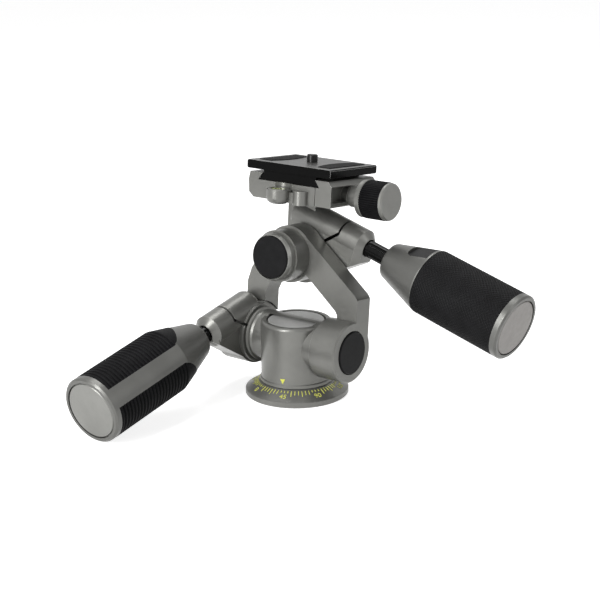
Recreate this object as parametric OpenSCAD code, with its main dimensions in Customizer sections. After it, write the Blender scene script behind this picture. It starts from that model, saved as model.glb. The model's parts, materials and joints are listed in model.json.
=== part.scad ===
// Three way pan tilt head. Millimetres. The origin is the centre of the underside of the base,
// on the pan axis. X runs along the tilt axis, Y towards the lens, Z up.

/* [Base] */
// Radius of the base flange
base_r = 30; // [28:0.5:33]
// Height of the plain rim of the flange
base_rim = 3.6; // [3:0.1:4.5]
// Height of the flange where its bevel meets the column
base_top = 8.2; // [7.6:0.1:9.5]
// Radius of the tripod thread, 3/8 inch
tripod_r = 4.76; // [3.17:0.01:5]
// Wall of the threaded bush round the tripod thread
bush_wall = 2; // [1.5:0.1:2.6]
// Depth of the tripod thread
tripod_depth = 12; // [9:0.5:13]
// Radius of the pan spindle
spindle_r = 12; // [11:0.1:13]
// Height of the pan spindle above the flange
spindle_h = 11; // [10:0.5:12]
// Graduations round the scale
scale_marks = 72; // [24:12:72]

/* [Column] */
// Radius of the column
column_r = 20.7; // [20:0.1:22]
// Height of the top of the column
column_top = 44.2; // [43:0.1:50]
// Radius of the rounded top edge of the column
column_round = 2; // [1:0.1:2.4]
// Radius of the disc let into the top of the column
cap_r = 16.4; // [14:0.1:16.8]
// Radius of the two side bosses that carry the tilt shaft
side_boss_r = 14.6; // [13:0.1:15]
// Height of the pan lock screw
pan_lock_z = 14.6; // [14:0.1:15]
// Radius of the pan lock knob
pan_knob_r = 6.2; // [5:0.1:6.2]
// Length of the pan lock knob
pan_knob_len = 6.4; // [5:0.2:6.6]

/* [Tilt] */
// Height of the tilt axis
tilt_z = 31; // [30:0.1:33]
// Lean of the yoke in the photographed pose, degrees
tilt_rest = -5.5; // [-12:0.5:6]
// Radius of the tilt shaft
tilt_shaft_r = 8; // [7:0.1:8.5]
// Radius of the round right hub of the yoke
hub_r = 17.5; // [16.5:0.1:19]
// Distance from the pan axis to the outer face of the right leg
leg_x = 39.5; // [38:0.1:43]
// Thickness of the legs, along the tilt axis
leg_t = 13.5; // [12:0.1:14]
// Radius of the dark discs in the hub and in the roll barrel
disc_r = 12.2; // [11:0.1:12.4]

/* [Yoke] */
// Front face of the yoke plate
plate_y0 = 2.5; // [1:0.1:4]
// Thickness of the yoke plate
yoke_t = 12.5; // [11:0.1:13.5]
// Sideways place of the roll axis
roll_x = -10.5; // [-13:0.1:-8]
// Height of the roll axis above the tilt axis
roll_h = 49; // [48:0.1:53]
// Radius of the yoke round the roll axis
roll_eye_r = 16.6; // [16:0.1:17.5]
// Radius of the front roll barrel
barrel_r = 15; // [14.6:0.1:15.6]
// Length of the front roll barrel
barrel_len = 11.5; // [10:0.1:13]
// Length of the collar in front of the roll barrel
collar_len = 6; // [5:0.1:7]
// Radius of the collar in front of the roll barrel
collar_r = 13.8; // [13.6:0.1:14.2]
// Radius of the roll shaft
roll_shaft_r = 7; // [6:0.1:7.5]

/* [Split clamps] */
// Thickness of each split clamp, which is the diameter of its ears
clamp_t = 19; // [18:0.1:19.6]
// Outer radius of each clamp ring
ring_r = 18.5; // [17.5:0.1:19.5]
// Reach of the front ear from the shaft axis
ear_len = 36.5; // [35:0.1:38]
// Bevel at the end of the front ear
ear_bevel = 3.6; // [2.5:0.1:3.8]
// Depth of the tilt clamp's ear below its rod
tilt_ear_low = 5.6; // [4.5:0.1:8]
// Depth of the roll clamp's ear below its rod
roll_ear_low = 10.5; // [5:0.1:11]
// Distance of the slit from the shaft axis, along the handle
slit_u = 18.6; // [17:0.1:20]
// Width of the slit
slit_w = 1.5; // [1:0.1:2]
// Distance of the tilt handle above the tilt axis
tilt_rod_v = 14.4; // [14:0.1:17.5]
// Distance of the roll handle above the roll axis
roll_rod_v = 17.6; // [16:0.1:18]
// Droop of the tilt handle below the yoke's level, degrees
tilt_droop = 17; // [8:0.1:17.2]
// Droop of the roll handle below the platform's level, degrees
roll_droop = 16.4; // [10:0.1:20]
// Gap between the yoke and the roll clamp
roll_gap = 1; // [0.8:0.1:1.4]

/* [Handles] */
// Radius of the black handle rods
rod_r = 5; // [4.5:0.1:5.2]
// Radius of the threaded end of the rods
stud_r = 4; // [3:0.1:4.2]
// Length of each grip from its nose to its end
grip_len = 87; // [75:1:92]
// Distance of the tilt grip's nose from the tilt axis, along the rod
tilt_nose = 43.5; // [41:0.5:60]
// Distance of the roll grip's nose from the roll axis, along the rod
roll_nose = 52.5; // [46:0.5:66]
// Radius of the grips
grip_r = 19.1; // [17.5:0.1:19.4]
// Radius of the nose of the grips
nose_r = 10.8; // [9:0.1:12]
// Length of the grey cone collar
cone_len = 28; // [22:0.5:32]
// Thickness of the rubber on the grips
rubber_t = 2; // [1.4:0.1:2.4]
// Ribs along the tilt grip
grip_ribs = 22; // [12:1:26]
// Length of the end ring of the grips
end_ring_len = 4; // [3:0.1:5]
// Radius of the disc in the end of the grips
end_disc_r = 15.8; // [14:0.1:16.2]

/* [Quick release] */
// Length of the fixed body, along the tilt axis
body_len = 48.2; // [46:0.1:50]
// Depth of the body and of the moving jaw, towards the lens
body_d = 43.5; // [40:0.5:46]
// Height of the body's underside above the roll axis
body_z = 30.6; // [30:0.1:32]
// Height of the body and the jaw
body_h = 14.8; // [14.6:0.1:17]
// Length of the moving jaw, along its travel
jaw_len = 11; // [10:0.1:12]
// Travel of the moving jaw
jaw_travel = 4; // [3:0.5:4.5]
// Distance of the platform's centre in front of the tilt axis
platform_y = 20.5; // [19:0.1:22]
// Radius of the clamping knob
knob_r = 11; // [10:0.1:12]
// Length of the clamping knob
knob_len = 19; // [17:0.5:22]
// Length of the black neck between the jaw and the knob
knob_neck = 7.5; // [6:0.1:9]
// Radius of the bubble level
vial_r = 4.7; // [4:0.1:5]

/* [Camera plate] */
// Length of the plate, along the tilt axis
plate_len = 60; // [56:1:64]
// Width of the plate, towards the lens
plate_w = 45; // [42:1:48]
// Thickness of the plate's slab
plate_t = 5; // [4:0.1:6]
// Width of the dovetail at its foot
dove_w = 44; // [42:0.5:45]
// Width of the dovetail at its neck
dove_neck = 37.8; // [36:0.2:39]
// Height of the dovetail
dove_h = 4.2; // [3.6:0.1:4.6]
// Travel of the plate each way, between its stops
plate_travel = 12; // [6:1:14]
// Radius of the camera screw, 1/4 inch
camera_r = 3.175; // [3:0.005:3.2]
// Height of the camera screw above the plate
camera_h = 4.5; // [4:0.1:6]

/* [Hidden] */
$fn = 96;
// clearances
run_c = 0.05;
seat_c = 0.02;
face_c = 0.3;
eps = 0.01;
// radius left free between a rod and its ear
rod_c = 0.35;
// the clamp's plate stands this far inside its round barrel
web_in = 0.3;
// rounding of the barrel's rear end
rear_round = 2.6;
tilt_rear_u = -5;
roll_rear_u = -17;
// base
foot_pad_t = 1.2;
foot_pad_r0 = 14;
foot_pad_r1 = base_r - 2.5;
spindle_screw_ring = 10.2;
spindle_screw_angles = [30, 150, 270];
spindle_screw_r = 1.5;
rim_round = 0.5;
tick_r0 = 22.5;
tick_len = 2.9;
tick_len_third = 4;
tick_len_numeral = 1.5;
tick_w = 0.42;
tick_h = 0.12;
numeral_angle = -70;
numeral_step = 45;
numeral_half = 6;
// column
retainer_angles = [45, 195];
retainer_r = 1.5;
shoe_r = 3.4;
shoe_t = 3.2;
pointer_angle = -75;
lock_boss_r = 4.8;
column_z0 = base_top + 0.4;
foot_h = 1.6;
foot_r = column_r + 0.6;
side_x = column_r + 0.7;
pan_bore_h = spindle_h + 0.5;
spindle_top = base_top + spindle_h;
cap_t = 3;
cap_groove = 0.8;
lock_face_y = column_r + 1.4;
lock_screw_r = 2.5;
groove_depth = 1.2;
groove_h = 5;
// tilt train, along the tilt axis
bush_t = 2;
washer_t = 1;
hub_x0 = side_x + washer_t;
clamp_x = -(hub_x0 + 3.4 + 1.2 + clamp_t / 2);
clamp_hub_r = 17.4;
clamp_hub_t = 1.2;
hub_step = 1.1;
clamp_seat_r = 14.4;
disc_t = 1.6;
disc_proud = 0.7;
disc_gap = 0.5;
dowel_r = 1.5;
end_screw_r = 2;
end_screw_head_r = 6;
washer_r = 16.6;
collar_rim_r = 15.8;
shaft_x0 = clamp_x - clamp_t / 2 + disc_t + 1.2;
shaft_x1 = leg_x - disc_t - 2.4;
// roll train, along the roll axis
plate_y1 = plate_y0 + yoke_t;
roll_clamp_y = plate_y1 + roll_gap + clamp_t / 2;
barrel_y = plate_y0 - barrel_len;
collar_y = barrel_y - collar_len;
roll_shaft_y0 = collar_y + disc_t + 2.6;
roll_shaft_y1 = roll_clamp_y + clamp_t / 2 - 3;
// handles
cone_start = 1.5;
end_disc_t = 2.4;
end_disc_gap = 0.6;
tongue_r = 19;
tongue_len = 12;
strip_turn = 120;
window_turn = -76;
window_start = 12;
window_corner = 3.6;
window_depth = 2.4;
inlay_t = 1.1;
inlay_w = 13;
strip_half = 17;
// quick release, measured from the roll axis
dove_c = 0.15;
floor_c = 0.1;
body_x0 = -body_len / 2 - 5;
body_x1 = body_x0 + body_len;
jaw_x0 = body_x1 + 0.4;
jaw_x1 = jaw_x0 + jaw_len;
body_top = body_z + body_h;
floor_z = body_top - dove_h;
front_y = platform_y - body_d / 2;
knob_z = body_z + 5.2;
knob_x0 = jaw_x1 + knob_neck;
knob_x1 = knob_x0 + knob_len;
flange_len = 3.5;
knob_cap_t = 2.2;
knob_rubber_t = 1.6;
screw_r = 3;
slab_z0 = body_top + 1.8;
plate_top = slab_z0 + plate_t;
pin_dx = 12;
pin_r = 2;
neck_x0 = -14.7;
neck_x1 = 5;
neck_t = 13;
bolt_x = -9.5;
bolt_r = 2.1;
bolt_head_r = 4.2;
bolt_head_t = 3.4;
// bubble level and the boss beside it, from the middle of the platform's front face
vial_x = -3.4;
vial_y = -4.2;
vial_z0 = body_z + 2.4;
vial_h = 4.6;
level_r = vial_r + 2.3;
level_top = body_z + 7.4;
boss_x = 9.8;
boss_r = 4.6;
pocket_z0 = body_z + 2.6;
pocket_h = 9;
pocket_depth = 4.2;
pocket_wall = 1.8;
screw_boss_r = 6.6;
camera_head_r = 8;
camera_head_t = 2.6;
clip_t = 0.4;
shank_r = camera_r - 0.6;
// the thread starts this far above the plate, and ends in a short lead-in
thread_gap = 0.3;
thread_lead = 0.5;
pad_x = 19.5;
pad_w = 12;
pad_len = 34;
pad_bow = 46;
pad_bed = 0.8;
pad_proud = 0.4;
stop_x = 16;
stop_r = 1.5;
// further than any piece reaches from its own axis
reach = 40;

grey = [0.50, 0.50, 0.48];
light_grey = [0.60, 0.60, 0.58];
black = [0.10, 0.10, 0.10];
rubber = [0.13, 0.13, 0.13];
steel = [0.72, 0.72, 0.70];
brass = [0.78, 0.66, 0.36];
mark = [0.78, 0.80, 0.30];

// ---- frames of reference ----

// The yoke: origin on the tilt axis
module at_yoke() { translate([0, 0, tilt_z]) rotate([tilt_rest, 0, 0]) children(); }

// The platform: origin on the roll axis
module at_platform() { at_yoke() translate([roll_x, 0, roll_h]) children(); }

// A clamp lies in XY with its handle along +X and its shaft along Z
module clamp_frame(droop) { rotate([0, droop, 0]) rotate([90, 0, 0]) children(); }

module at_tilt_clamp() {
    at_yoke() translate([clamp_x, 0, 0]) rotate([0, 0, -90]) clamp_frame(tilt_droop) children();
}

module at_roll_clamp() { at_platform() translate([0, roll_clamp_y, 0]) clamp_frame(roll_droop) children(); }

// A handle lies along +X from a point above the shaft
module at_tilt_rod() { at_tilt_clamp() translate([0, tilt_rod_v, 0]) children(); }

module at_roll_rod() { at_roll_clamp() translate([0, roll_rod_v, 0]) children(); }

// Cylinders along X and along Y, from a start to an end
module bar_x(x0, x1, r, r2 = -1) {
    translate([x0, 0, 0]) rotate([0, 90, 0]) cylinder(h = x1 - x0, r1 = r, r2 = r2 < 0 ? r : r2);
}

module bar_y(y0, y1, r, r2 = -1) {
    translate([0, y0, 0]) rotate([-90, 0, 0]) cylinder(h = y1 - y0, r1 = r, r2 = r2 < 0 ? r : r2);
}

// A body of revolution round X from points of distance and radius
module turned_x(points) {
    rotate([0, 90, 0]) rotate_extrude() polygon([for (p = points) [p[1], p[0]]]);
}

module ring_x(x0, x1, r, hole) {
    difference() {
        bar_x(x0, x1, r);
        bar_x(x0 - 1, x1 + 1, hole);
    }
}

module ring_y(y0, y1, r, hole) {
    difference() {
        bar_y(y0, y1, r);
        bar_y(y0 - 1, y1 + 1, hole);
    }
}

// ---- base ----

module base_flange() {
    color(grey)
    difference() {
        rotate_extrude()
        polygon([
            [0, 0], [base_r - 0.6, 0], [base_r, 0.6], [base_r, base_rim - 0.4],
            [base_r - rim_round, base_rim], [foot_r, base_top], [0, base_top]
        ]);
        translate([0, 0, -1]) cylinder(h = base_top + 2, r = tripod_r + bush_wall);
        translate([0, 0, -1]) difference() {
            cylinder(h = 1 + foot_pad_t, r = foot_pad_r1);
            translate([0, 0, -1]) cylinder(h = 4, r = foot_pad_r0);
        }
        for (a = spindle_screw_angles) rotate(a) translate([spindle_screw_ring, 0, -1]) {
            cylinder(h = base_top + 2, r = spindle_screw_r + 0.1);
            cylinder(h = 4.4, r = 2 * spindle_screw_r + 0.1);
        }
    }
}

module base_pad() {
    color(rubber)
    difference() {
        cylinder(h = foot_pad_t, r = foot_pad_r1 - 0.1);
        translate([0, 0, -1]) cylinder(h = 4, r = foot_pad_r0 + 0.1);
    }
}

// The angle from a graduation to the nearest numeral
function from_numeral(a) =
    abs((a - numeral_angle + 7.5 * numeral_step) % numeral_step - numeral_step / 2);

// The length of a graduation: short beside a numeral, long at each third
function tick_length(a) =
    from_numeral(a) < numeral_half ? tick_len_numeral : a % 15 == 0 ? tick_len_third : tick_len;

// Graduations lie on the bevel of the flange
module pan_scale() {
    slope = atan((base_top - base_rim) / (base_r - rim_round - foot_r));
    color(mark)
    for (i = [0:scale_marks - 1])
        let (a = i * 360 / scale_marks)
        rotate(a)
        translate([foot_r, 0, base_top]) rotate([0, slope, 0])
        translate([tick_r0 - foot_r, -tick_w / 2, 0]) cube([tick_length(a), tick_w, tick_h]);
}

module tripod_bush() {
    color(brass)
    difference() {
        cylinder(h = tripod_depth, r = tripod_r + bush_wall - seat_c);
        translate([0, 0, -1]) cylinder(h = tripod_depth + 2, r = tripod_r);
    }
}

module pan_spindle() {
    color(steel)
    difference() {
        rotate_extrude()
        polygon([
            [0, base_top], [spindle_r, base_top], [spindle_r, pan_lock_z - groove_h / 2],
            [spindle_r - groove_depth, pan_lock_z - groove_h / 2 + groove_depth],
            [spindle_r - groove_depth, pan_lock_z + groove_h / 2 - groove_depth],
            [spindle_r, pan_lock_z + groove_h / 2], [spindle_r, spindle_top - 0.6],
            [spindle_r - 0.6, spindle_top], [0, spindle_top]
        ]);
        translate([0, 0, base_top - 1]) cylinder(h = spindle_h, r = tripod_r + bush_wall);
        for (a = spindle_screw_angles) rotate(a) translate([spindle_screw_ring, 0, base_top - 1])
            cylinder(h = 6, r = spindle_screw_r);
    }
}

module spindle_screws() {
    color(steel)
    for (a = spindle_screw_angles) rotate(a) translate([spindle_screw_ring, 0, foot_pad_t])
    difference() {
        union() {
            cylinder(h = 2.2, r = 2 * spindle_screw_r - 0.1);
            cylinder(h = base_top + 4.4 - foot_pad_t, r = spindle_screw_r - seat_c);
        }
        translate([0, 0, -1]) cylinder(h = 2, r = 1.25, $fn = 6);
    }
}

// ---- column ----

module column_housing() {
    round_r = column_r - column_round;
    round_z = column_top - column_round;
    color(grey)
    difference() {
        union() {
            rotate_extrude()
            polygon([
                [0, column_z0], [foot_r, column_z0], [foot_r, column_z0 + foot_h],
                [column_r, column_z0 + foot_h + 0.6], [column_r, round_z], [round_r, round_z],
                [round_r, column_top], [0, column_top]
            ]);
            rotate_extrude() translate([round_r, round_z]) circle(r = column_round);
            translate([0, 0, tilt_z]) bar_x(-side_x, side_x, side_boss_r);
            translate([0, 0, pan_lock_z]) bar_y(0, lock_face_y, lock_boss_r);
        }
        // seat of the cap and the groove round it
        translate([0, 0, column_top - cap_t]) cylinder(h = cap_t + 1, r = cap_r + cap_groove);
        // pan spindle and tilt shaft
        translate([0, 0, column_z0 - 1]) cylinder(h = pan_bore_h + 1, r = spindle_r + run_c);
        translate([0, 0, tilt_z]) bar_x(-side_x - 1, side_x + 1, tilt_shaft_r + seat_c);
        // pan lock screw, brake shoe and retaining screws
        translate([0, 0, pan_lock_z]) bar_y(spindle_r - 1, lock_face_y + 1, lock_screw_r + run_c);
        translate([0, 0, pan_lock_z]) bar_y(spindle_r - 1, spindle_r + shoe_t, shoe_r + seat_c);
        for (a = retainer_angles) rotate(a) translate([0, 0, pan_lock_z])
            bar_x(spindle_r - 1, column_r + 2, retainer_r);
        // dowel that keys the tilt shaft
        translate([0, 0, tilt_z]) cylinder(h = column_top - cap_t - tilt_z + 1, r = dowel_r);
    }
}

module column_cap() {
    color(light_grey)
    translate([0, 0, column_top - cap_t])
    rotate_extrude()
    polygon([
        [0, 0], [cap_r + cap_groove - seat_c, 0], [cap_r + cap_groove - seat_c, 1], [cap_r, 1],
        [cap_r, cap_t - 0.7], [cap_r - 0.4, cap_t - 0.3], [0, cap_t - 0.3]
    ]);
}

// A small triangle at the foot of the column points down at the scale
module index_pointer() {
    color(mark)
    rotate(pointer_angle)
    intersection() {
        difference() {
            cylinder(h = 20, r = column_r + 0.25);
            cylinder(h = 20, r = column_r);
        }
        translate([0, 0, column_z0 + foot_h + 0.8]) rotate([90, 0, 90])
            linear_extrude(40) polygon([[0, 0], [1.5, 3], [-1.5, 3]]);
    }
}

module pan_washer() {
    color(black)
    translate([0, 0, base_top]) difference() {
        cylinder(h = column_z0 - base_top, r = column_r - 1);
        translate([0, 0, -1]) cylinder(h = 3, r = spindle_r + face_c);
    }
}

module pan_retaining_screws() {
    color(steel)
    for (a = retainer_angles) rotate(a) translate([0, 0, pan_lock_z])
    difference() {
        bar_x(spindle_r - groove_depth + 0.5, column_r - 0.6, retainer_r - seat_c);
        bar_x(column_r - 2.2, column_r + 1, retainer_r / 2, $fn = 6);
    }
}

module pan_brake_shoe() {
    color(brass)
    translate([0, 0, pan_lock_z])
    difference() {
        bar_y(spindle_r - 0.6, spindle_r + shoe_t - 0.2, shoe_r);
        translate([0, 0, -10]) cylinder(h = 20, r = spindle_r + 0.3);
    }
}

module tilt_shaft() {
    color(steel)
    difference() {
        translate([0, 0, tilt_z]) bar_x(shaft_x0, shaft_x1, tilt_shaft_r);
        translate([0, 0, tilt_z - 1]) cylinder(h = 20, r = dowel_r);
        translate([0, 0, tilt_z]) bar_x(shaft_x1 - 12, shaft_x1 + 1, end_screw_r);
        translate([0, 0, tilt_z]) bar_x(shaft_x0 - 1, shaft_x0 + 10, end_screw_r);
    }
}

module tilt_shaft_pin() {
    color(steel) translate([0, 0, tilt_z - 1 + seat_c])
        cylinder(h = column_top - cap_t - tilt_z + 0.6, r = dowel_r - seat_c);
}

// ---- pan lock knob ----

module pan_knob() {
    y0 = lock_face_y + face_c;
    color(black)
    translate([0, 0, pan_lock_z])
    difference() {
        union() {
            bar_y(y0, y0 + pan_knob_len - 1, pan_knob_r);
            bar_y(y0 + pan_knob_len - 1 - eps, y0 + pan_knob_len, pan_knob_r, pan_knob_r - 0.9);
        }
        for (a = [0:20:340]) rotate([0, a, 0]) translate([pan_knob_r + 0.45, y0 - 1, 0]) rotate([-90, 0, 0])
            cylinder(h = pan_knob_len + 2, r = 0.9, $fn = 24);
        bar_y(y0 - 1, y0 + pan_knob_len - 1.6, lock_screw_r);
    }
}

module pan_knob_screw() {
    color(steel)
    translate([0, 0, pan_lock_z])
    bar_y(spindle_r + shoe_t - 0.1, lock_face_y + face_c + pan_knob_len - 1.7, lock_screw_r - seat_c);
}

// ---- split clamps ----

// The outline of a clamp in its plane: ring, front ear with its sloping underside
module clamp_outline(rod_v, low) {
    circle(r = ring_r);
    polygon([
        [0, 0], [0, rod_v], [ear_len, rod_v], [ear_len, rod_v - low + 1.5], [ear_len - 1.5, rod_v - low],
        [ring_r * cos(-28), ring_r * sin(-28)]
    ]);
}

// The plate and the barrel of a clamp. The side towards the shaft's other end may be stepped back.
module clamp_blank(rod_v, rear_u, low, step) {
    h = clamp_t / 2 - web_in;
    bevel_u = ear_len - ear_bevel;
    barrel = clamp_t / 2;
    // the plate, with a bevel down both sides of the front ear
    intersection() {
        translate([0, 0, step - h]) linear_extrude(2 * h - step) {
            clamp_outline(rod_v, low);
            translate([rear_u + rear_round, rod_v - ring_r * 0.6])
                square([2 - rear_u - rear_round, ring_r * 0.6]);
        }
        rotate([90, 0, 0]) translate([0, 0, -reach]) linear_extrude(2 * reach)
            polygon([
                [-reach, -h - 1], [bevel_u - 1, -h - 1], [ear_len, ear_bevel - h],
                [ear_len, h - ear_bevel], [bevel_u - 1, h + 1], [-reach, h + 1]
            ]);
    }
    // the round barrel that takes the handle
    translate([0, rod_v, 0]) turned_x([
        [rear_u, 0], [rear_u, barrel - rear_round], [rear_u + 0.3 * rear_round, barrel - 0.3 * rear_round],
        [rear_u + rear_round, barrel], [bevel_u, barrel], [ear_len, barrel - ear_bevel], [ear_len, 0]
    ]);
}

// What is cut from a clamp: shaft bore, slit, and the stepped hole of the handle
module clamp_cuts(rod_v, shaft_r) {
    w = slit_w / 2;
    knee = rod_v + 2;
    // the slit ends inside the bore of the shaft
    end = shaft_r * 0.7;
    translate([0, 0, -clamp_t]) cylinder(h = 2 * clamp_t, r = shaft_r + run_c);
    translate([0, 0, -clamp_t]) linear_extrude(2 * clamp_t)
        polygon([
            [slit_u - w, rod_v + 20], [slit_u + w, rod_v + 20], [slit_u + 1 + w, knee], [end + w, end - w],
            [end - w, end + w], [slit_u + 1 - w, knee + 1.4 * w]
        ]);
    translate([0, rod_v, 0]) bar_x(ear_len - 10, ear_len + 1, rod_r + rod_c);
    translate([0, rod_v, 0]) bar_x(slit_u - 20, ear_len, stud_r + run_c);
}

module tilt_clamp() {
    color(grey)
    at_tilt_clamp()
    difference() {
        union() {
            clamp_blank(tilt_rod_v, tilt_rear_u, tilt_ear_low, hub_step);
            // raised hub towards the column
            translate([0, 0, -clamp_t / 2 - clamp_hub_t])
                cylinder(h = clamp_hub_t + web_in + hub_step + 1, r = clamp_hub_r);
        }
        clamp_cuts(tilt_rod_v, tilt_shaft_r);
        translate([0, 0, clamp_t / 2 - disc_t]) cylinder(h = disc_t + 1, r = disc_r + disc_gap);
    }
}

// ---- yoke ----

// The yoke plate seen from the front, about the tilt axis
module yoke_outline() {
    inner = leg_x - leg_t;
    // the platform swings down past the left leg
    left_x = roll_x - body_z + 0.9;
    translate([roll_x, roll_h]) circle(r = roll_eye_r);
    // right arm and leg
    polygon([
        [roll_x, roll_h], [roll_x + (roll_eye_r - 0.2) * sin(38.1), roll_h + (roll_eye_r - 0.2) * cos(38.1)],
        [leg_x - 1.6, 31.8], [leg_x, 29.6], [leg_x, 0], [inner, 0], [inner, 19], [inner - 1.6, 21.3]
    ]);
    // left arm and leg
    polygon([
        [roll_x, roll_h], [roll_x - 12.8, roll_h + 10.4], [left_x + 2.6, roll_h - 12], [left_x, roll_h - 20],
        [left_x, 0], [-inner - 0.4, 0], [-inner - 0.4, 24], [-inner + 1.6, 28.5], [roll_x - 6, roll_h - 10]
    ]);
}

module yoke_frame() {
    color(grey)
    at_yoke()
    difference() {
        union() {
            translate([0, plate_y1, 0]) rotate([90, 0, 0]) linear_extrude(yoke_t) yoke_outline();
            bar_x(hub_x0, leg_x - 0.8, hub_r);
            bar_x(leg_x - 0.8 - eps, leg_x, hub_r, hub_r - 0.8);
            translate([roll_x, 0, roll_h]) bar_y(barrel_y, plate_y0 + 1, barrel_r);
        }
        // hub bore, disc seat
        bar_x(hub_x0 - 1, leg_x + 1, tilt_shaft_r + bush_t);
        bar_x(leg_x - disc_t, leg_x + 1, disc_r + disc_gap);
        // room for the tilt clamp, its raised hub, the column and its washers
        translate([clamp_x, 0, 0]) rotate([0, 0, -90]) clamp_frame(tilt_droop)
            clamp_blank(tilt_rod_v, tilt_rear_u, tilt_ear_low, 0);
        bar_x(clamp_x, hub_x0, clamp_hub_r + 1.5);
        // roll shaft
        translate([roll_x, 0, roll_h]) bar_y(barrel_y - 1, plate_y1 + 1, roll_shaft_r + seat_c);
    }
}

module hub_bush() {
    color(brass)
    at_yoke() ring_x(hub_x0, shaft_x1, tilt_shaft_r + bush_t - seat_c, tilt_shaft_r + run_c);
}

module tilt_washers() {
    edge = 0.25;
    color(light_grey)
    at_yoke() difference() {
        turned_x([
            [side_x, 0], [side_x, washer_r - edge], [side_x + edge, washer_r], [hub_x0 - edge, washer_r],
            [hub_x0, washer_r - edge], [hub_x0, 0]
        ]);
        bar_x(side_x - 1, hub_x0 + 1, tilt_shaft_r + face_c);
    }
}

module tilt_thrust_collar() {
    color(light_grey)
    at_yoke() difference() {
        turned_x([
            [-hub_x0 - 3.4, 0], [-hub_x0 - 3.4, collar_rim_r - 0.8], [-hub_x0 - 2.8, collar_rim_r],
            [-hub_x0 - 1.2, collar_rim_r], [-hub_x0 - 0.7, collar_rim_r - 1.2], [-side_x, collar_rim_r - 1.6],
            [-side_x, 0]
        ]);
        bar_x(-hub_x0 - 5, -hub_x0 + 2, tilt_shaft_r + face_c);
    }
}

module tilt_hub_disc() {
    color(black)
    at_yoke() turned_x([
        [leg_x - disc_t, 0], [leg_x - disc_t, disc_r], [leg_x + disc_proud - 0.5, disc_r],
        [leg_x + disc_proud, disc_r - 0.5], [leg_x + disc_proud, 0]
    ]);
}

module tilt_clamp_disc() {
    x0 = clamp_x - clamp_t / 2;
    color(black)
    at_yoke() turned_x([
        [x0 + disc_t, 0], [x0 + disc_t, disc_r], [x0 - disc_proud + 0.5, disc_r],
        [x0 - disc_proud, disc_r - 0.5], [x0 - disc_proud, 0]
    ]);
}

module tilt_shaft_screws() {
    color(steel)
    translate([0, 0, tilt_z]) {
        bar_x(shaft_x1 - 11, shaft_x1, end_screw_r - seat_c);
        bar_x(shaft_x1, shaft_x1 + 1, end_screw_head_r);
        bar_x(shaft_x0, shaft_x0 + 9, end_screw_r - seat_c);
        bar_x(shaft_x0 - 0.9, shaft_x0, end_screw_head_r);
    }
}

module roll_shaft() {
    color(steel)
    at_platform() difference() {
        bar_y(roll_shaft_y0, roll_shaft_y1, roll_shaft_r);
        bar_y(roll_shaft_y1 - 12, roll_shaft_y1 + 1, end_screw_r);
    }
}

module roll_collar() {
    color(light_grey)
    at_platform() difference() {
        rotate([-90, 0, 0]) rotate_extrude() polygon([
            [0, collar_y + 0.4], [disc_r + disc_gap + 0.2, collar_y + 0.4], [collar_r - 0.5, collar_y + 1.2],
            [collar_r, collar_y + 2.6], [collar_r, barrel_y], [0, barrel_y]
        ]);
        bar_y(collar_y - 1, collar_y + disc_t + 1, disc_r + disc_gap);
        bar_y(collar_y, barrel_y + 1, roll_shaft_r + seat_c);
    }
}

module roll_disc() {
    color(black)
    at_platform() rotate([-90, 0, 0]) rotate_extrude() polygon([
        [0, collar_y + disc_t + 1], [disc_r, collar_y + disc_t + 1], [disc_r, collar_y + 0.5],
        [disc_r - 0.5, collar_y], [0, collar_y]
    ]);
}

module roll_washer() {
    color(black)
    at_platform() ring_y(plate_y1, plate_y1 + roll_gap, 15, roll_shaft_r + face_c);
}

// ---- handles, drawn along +X ----

module rod(nose) {
    color(black)
    difference() {
        union() {
            bar_x(ear_len - 9, nose + cone_len, rod_r);
            bar_x(slit_u - 18, ear_len - 9 + eps, stud_r);
        }
        // shallow flutes along the bare rod
        for (a = [0:45:315]) rotate([a, 0, 0]) translate([0, 0, rod_r + 0.55])
            bar_x(ear_len - 8, nose + 6, 0.9, $fn = 24);
    }
}

// The profile of the grip's core: nose, cone, waist under the rubber, and the seat of the end disc
function core_profile(nose, waist) = [
    [nose, 0], [nose, nose_r - 1.5], [nose + 0.5, nose_r - 0.5], [nose + cone_start, nose_r],
    [nose + cone_len, grip_r - 0.3], [nose + cone_len + 0.6, grip_r - 0.3], [nose + cone_len + 0.6, waist],
    [nose + grip_len - end_ring_len, waist], [nose + grip_len - end_ring_len, grip_r - 0.1],
    [nose + grip_len - 1, grip_r - 0.1], [nose + grip_len, grip_r - 1.1], [nose + grip_len, 0]
];

module core_cuts(nose) {
    bar_x(nose - 1, nose + cone_len, rod_r + seat_c);
    bar_x(nose + grip_len - end_disc_t, nose + grip_len + 1, end_disc_r + end_disc_gap);
    bar_x(nose + cone_len + 3, nose + grip_len, end_disc_r - 1.3);
}

module end_disc(nose) {
    x1 = nose + grip_len;
    foot = end_disc_r + end_disc_gap - seat_c;
    color(light_grey)
    turned_x([
        [x1 - end_disc_t, 0], [x1 - end_disc_t, foot], [x1 - end_disc_t + 0.8, foot],
        [x1 - end_disc_t + 0.8, end_disc_r], [x1 - 0.5, end_disc_r], [x1 - 0.1, end_disc_r - 0.4],
        [x1 - 0.1, 0]
    ]);
}

module thrust_washer() {
    color(brass) ring_x(ear_len - 10, ear_len - 9, rod_r + rod_c - seat_c, stud_r + rod_c);
}

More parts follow.
